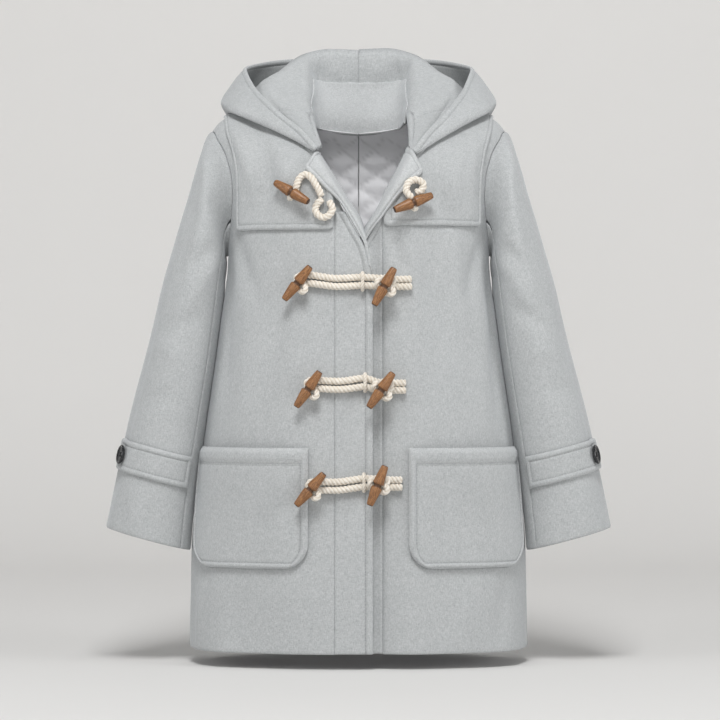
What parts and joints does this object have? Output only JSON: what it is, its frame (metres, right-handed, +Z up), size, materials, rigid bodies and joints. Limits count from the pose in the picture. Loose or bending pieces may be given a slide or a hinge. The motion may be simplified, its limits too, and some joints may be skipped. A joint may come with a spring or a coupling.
{
  "type": "duffle coat",
  "caption": "Child's hooded wool duffle coat, filled out as worn, with rope and wooden toggle fastenings and patch pockets.",
  "frame": {"origin": "middle of the neck opening, level with the middle of the back neck seam", "axes": "+Z up; the coat's front faces -Y; +X is the wearer's left, which is the viewer's right"},
  "size_m": [0.5936, 0.2875, 0.7162],
  "materials": {
    "wool": "pale blue-grey brushed heather wool, matt with a soft nap",
    "wool_facing": "the same wool as facing, turned-out corner and hood stand",
    "lining": "light grey satin quilted in diamonds, soft sheen",
    "rope": "cream twisted cotton rope of three strands, matt",
    "wood": "brown stained and oiled wood, soft sheen",
    "button": "black, polished"
  },
  "bodies": {
    "root": {"front_right": "wool", "back_right": "wool", "front_band_right": "wool", "yoke_right": "wool", "pocket_right": "wool", "sleeve_upper_right": "wool", "sleeve_under_right": "wool", "cuff_tab_right": "wool", "hood_right": "wool", "facing_right": "wool_facing", "lapel_right": "wool_facing", "lining_back_right": "lining", "lining_front_right": "lining", "cuff_button_right": "button", "front_left": "wool", "back_left": "wool", "front_band_left": "wool", "yoke_left": "wool", "pocket_left": "wool", "sleeve_upper_left": "wool", "sleeve_under_left": "wool", "cuff_tab_left": "wool", "hood_left": "wool", "facing_left": "wool_facing", "lapel_left": "wool_facing", "lining_back_left": "lining", "lining_front_left": "lining", "cuff_button_left": "button", "hood_stand": "wool_facing", "loop_2": "rope", "anchor_2": "rope", "binding_2": "rope", "loop_3": "rope", "anchor_3": "rope", "binding_3": "rope", "loop_4": "rope", "anchor_4": "rope", "binding_4": "rope", "loop_1": "rope", "rope_right_1": "rope", "rope_left_1": "rope", "toggle_right_1": "wood", "toggle_left_1": "wood", "toggle_right_2": "wood", "toggle_left_2": "wood", "toggle_right_3": "wood", "toggle_left_3": "wood", "toggle_right_4": "wood", "toggle_left_4": "wood"}
  },
  "joints": []
}
